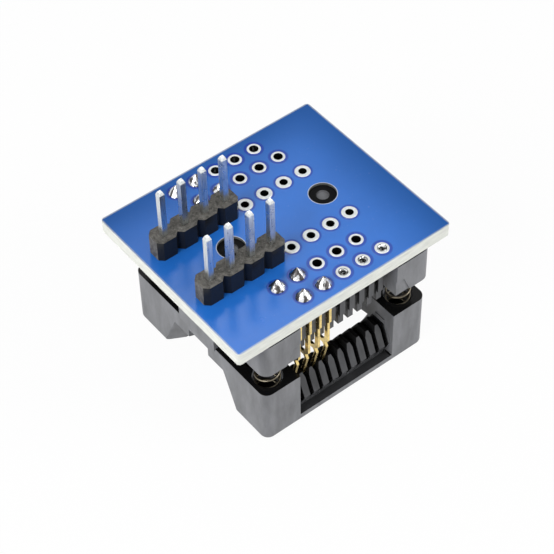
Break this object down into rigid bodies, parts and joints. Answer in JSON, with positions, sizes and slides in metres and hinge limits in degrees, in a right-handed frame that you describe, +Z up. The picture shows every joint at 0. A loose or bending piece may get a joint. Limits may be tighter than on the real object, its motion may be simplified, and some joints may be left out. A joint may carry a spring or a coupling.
{
  "type": "ic programming adapter",
  "caption": "Chip programming adapter: open-top spring socket for a small-outline chip on a blue board with pin headers, standing on the socket's press-down cover.",
  "frame": {"origin": "middle of the board's outline, at the level of the socket cover's face, which the adapter stands on", "axes": "+Z up, the way the header pins point; +X along the rows of contacts and header pins, away from the headers; -Y towards the foreground of the picture"},
  "size_m": [0.0274, 0.023, 0.0256],
  "materials": {
    "board": "blue solder mask on glass fibre board",
    "socket_plastic": "black glass-filled moulding, satin",
    "header_plastic": "black moulding",
    "tinned_pin": "bright tin plating over brass",
    "solder": "bright solder",
    "gold_contact": "gold plating over copper alloy",
    "spring_steel": "bright spring wire"
  },
  "bodies": {
    "adapter": {"circuit_board": "board", "contact_back_1": "gold_contact", "contact_back_2": "gold_contact", "contact_back_3": "gold_contact", "contact_back_4": "gold_contact", "contact_front_1": "gold_contact", "contact_front_2": "gold_contact", "contact_front_3": "gold_contact", "contact_front_4": "gold_contact", "contact_solder_back_1": "solder", "contact_solder_back_2": "solder", "contact_solder_back_3": "solder", "contact_solder_back_4": "solder", "contact_solder_front_1": "solder", "contact_solder_front_2": "solder", "contact_solder_front_3": "solder", "contact_solder_front_4": "solder", "header_housing_back": "header_plastic", "header_housing_front": "header_plastic", "header_pin_back_1": "tinned_pin", "header_pin_back_2": "tinned_pin", "header_pin_back_3": "tinned_pin", "header_pin_back_4": "tinned_pin", "header_pin_front_1": "tinned_pin", "header_pin_front_2": "tinned_pin", "header_pin_front_3": "tinned_pin", "header_pin_front_4": "tinned_pin", "header_solder_back": "solder", "header_solder_front": "solder", "socket_base": "socket_plastic", "spring_back_left": "spring_steel", "spring_back_right": "spring_steel", "spring_front_left": "spring_steel", "spring_front_right": "spring_steel"},
    "cover": {"socket_cover": "socket_plastic"}
  },
  "joints": [
    {"name": "cover_press", "type": "slide", "parent": "adapter", "child": "cover", "axis": [0, 0, 1], "range_m": [0, 0.0025], "stiffness_N_per_m": 1500, "springref_m": -0.003, "deforming": ["spring_back_left", "spring_back_right", "spring_front_left", "spring_front_right"]}
  ]
}
